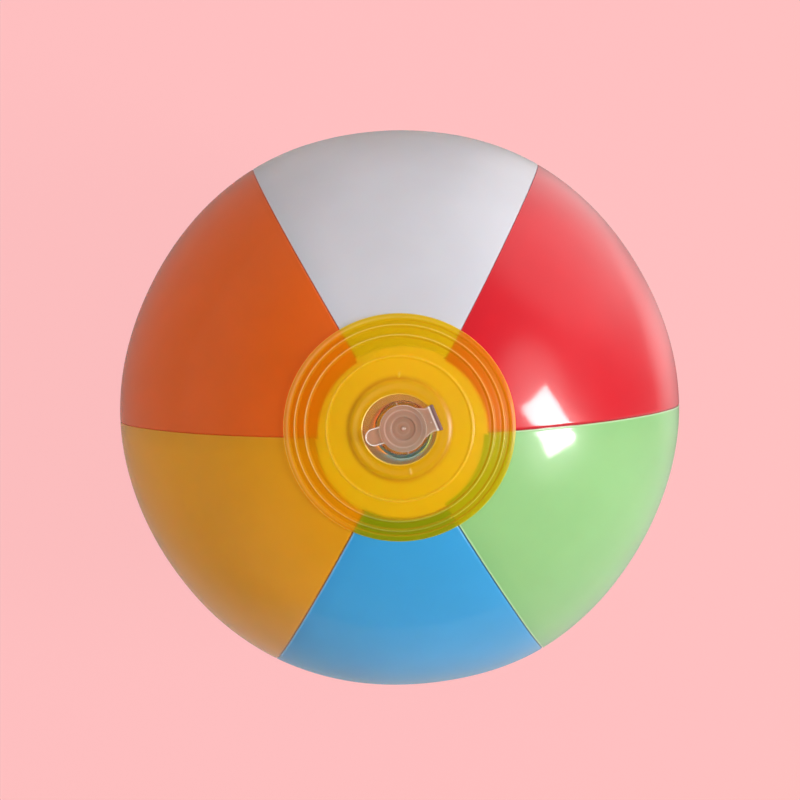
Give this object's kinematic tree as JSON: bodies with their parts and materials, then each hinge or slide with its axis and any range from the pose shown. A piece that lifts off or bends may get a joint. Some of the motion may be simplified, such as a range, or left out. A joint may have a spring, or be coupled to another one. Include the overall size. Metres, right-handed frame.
{
  "type": "inflatable beach ball",
  "caption": "Inflatable beach ball of welded coloured film panels between translucent end discs, with a push-in air valve, strapped plug cap and check flap.",
  "frame": {"origin": "centre of the inflated ball", "axes": "+Z from the centre out through the air valve; the white panel is centred on +Y and the seam between red and green lies on +X"},
  "size_m": [0.2, 0.2, 0.2023],
  "materials": {
    "white_film": "glossy welded PVC film",
    "red_film": "glossy welded PVC film",
    "green_film": "glossy welded PVC film",
    "blue_film": "glossy welded PVC film",
    "yellow_film": "glossy welded PVC film",
    "orange_film": "glossy welded PVC film",
    "disc_film": "translucent glossy PVC sheet",
    "clear_vinyl": "clear soft moulded PVC"
  },
  "bodies": {
    "ball": {"gore_white": "white_film", "gore_red": "red_film", "gore_green": "green_film", "gore_blue": "blue_film", "gore_yellow": "yellow_film", "gore_orange": "orange_film", "valve_end_disc": "disc_film", "far_end_disc": "disc_film", "valve_flange": "clear_vinyl", "valve_boot": "clear_vinyl"},
    "valve_stem": {"valve_stem": "clear_vinyl", "strap_lower_leg": "clear_vinyl"},
    "cap": {"valve_cap": "clear_vinyl", "strap_upper_leg": "clear_vinyl", "pull_tab": "clear_vinyl"},
    "check_flap": {"check_flap": "clear_vinyl"}
  },
  "joints": [
    {"name": "valve_slide", "type": "slide", "parent": "ball", "child": "valve_stem", "axis": [0, 0, 1], "range_m": [0, 0.01], "deforming": ["valve_boot"]},
    {"name": "cap_hinge", "type": "hinge", "parent": "valve_stem", "child": "cap", "pos_m": [0.01063, 0.00285, 0.1012], "axis": [-0.2588, 0.9659, 0], "range_deg": [0, 170]},
    {"name": "check_flap_hinge", "type": "hinge", "parent": "valve_stem", "child": "check_flap", "pos_m": [-0.00386, -0.00104, 0.08791], "axis": [-0.2588, 0.9659, 0], "range_deg": [0, 60], "stiffness_Nm_per_rad": 0.00002, "springref_deg": -20.05}
  ]
}
